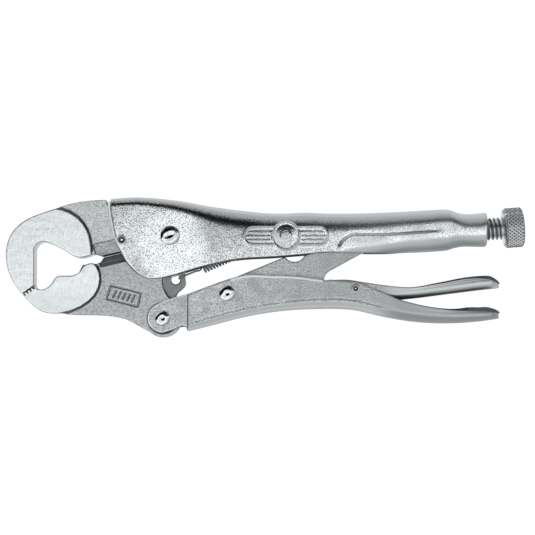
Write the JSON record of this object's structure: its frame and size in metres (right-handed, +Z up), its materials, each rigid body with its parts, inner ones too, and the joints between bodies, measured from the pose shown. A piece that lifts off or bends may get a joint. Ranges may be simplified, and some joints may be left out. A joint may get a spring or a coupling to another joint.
{
  "type": "locking pliers",
  "caption": "Locking pliers with curved grip jaws, a wire cutter, a toggle-locked lower handle with release lever, and a knurled adjusting screw.",
  "frame": {"origin": "on the table, under the middle of the whole tool as it lies on its side with the jaws closed", "axes": "+X from the jaws toward the adjusting screw, +Y from the lower handle toward the upper handle, +Z up along the rivets"},
  "size_m": [0.253, 0.0683, 0.0195],
  "materials": {
    "bright_nickel": "bright nickel plate over pressed sheet, lightly grained",
    "ground_steel": "ground faces, nickel plated",
    "satin_nickel": "satin nickel plate",
    "rivet_steel": "polished heads",
    "spring_steel": "plated spring wire",
    "knurled_steel": "knurled head, rolled thread"
  },
  "bodies": {
    "frame": {"upper_handle": "bright_nickel", "fixed_jaw": "ground_steel", "fixed_jaw_rivet": "rivet_steel", "jaw_pivot_rivet": "rivet_steel"},
    "jaw": {"moving_jaw": "ground_steel", "return_spring": "spring_steel"},
    "handle": {"lower_handle": "satin_nickel", "handle_pivot_rivet": "rivet_steel", "toggle_rivet": "rivet_steel", "release_lever_rivet": "rivet_steel"},
    "toggle": {"toggle_link": "satin_nickel"},
    "lever": {"release_lever": "satin_nickel"},
    "screw": {"adjusting_screw": "knurled_steel"}
  },
  "joints": [
    {"name": "jaw_open", "type": "hinge", "parent": "frame", "child": "jaw", "pos_m": [-0.0464, 0.0152, 0.00975], "axis": [0, 0, 1], "range_deg": [0, 16.1], "deforming": ["return_spring"]},
    {"name": "handle_swing", "type": "hinge", "parent": "jaw", "child": "handle", "pos_m": [-0.0499, -0.025, 0.00975], "axis": [0, 0, 1], "range_deg": [-56, 0]},
    {"name": "toggle_fold", "type": "hinge", "parent": "handle", "child": "toggle", "pos_m": [-0.0187, -0.0129, 0.00975], "axis": [0, 0, 1], "range_deg": [0, 60.1]},
    {"name": "lever_press", "type": "hinge", "parent": "handle", "child": "lever", "pos_m": [0.0436, -0.0106, 0.00975], "axis": [0, 0, 1], "range_deg": [-7, 0]},
    {"name": "screw_travel", "type": "slide", "parent": "frame", "child": "screw", "axis": [0.9976, 0.0698, 0], "range_m": [0, 0.018]}
  ],
  "couplings": [
    {"joint": "jaw_open", "follows": "handle_swing", "ratio": -0.28643},
    {"joint": "toggle_fold", "follows": "handle_swing", "ratio": -1.0717}
  ]
}
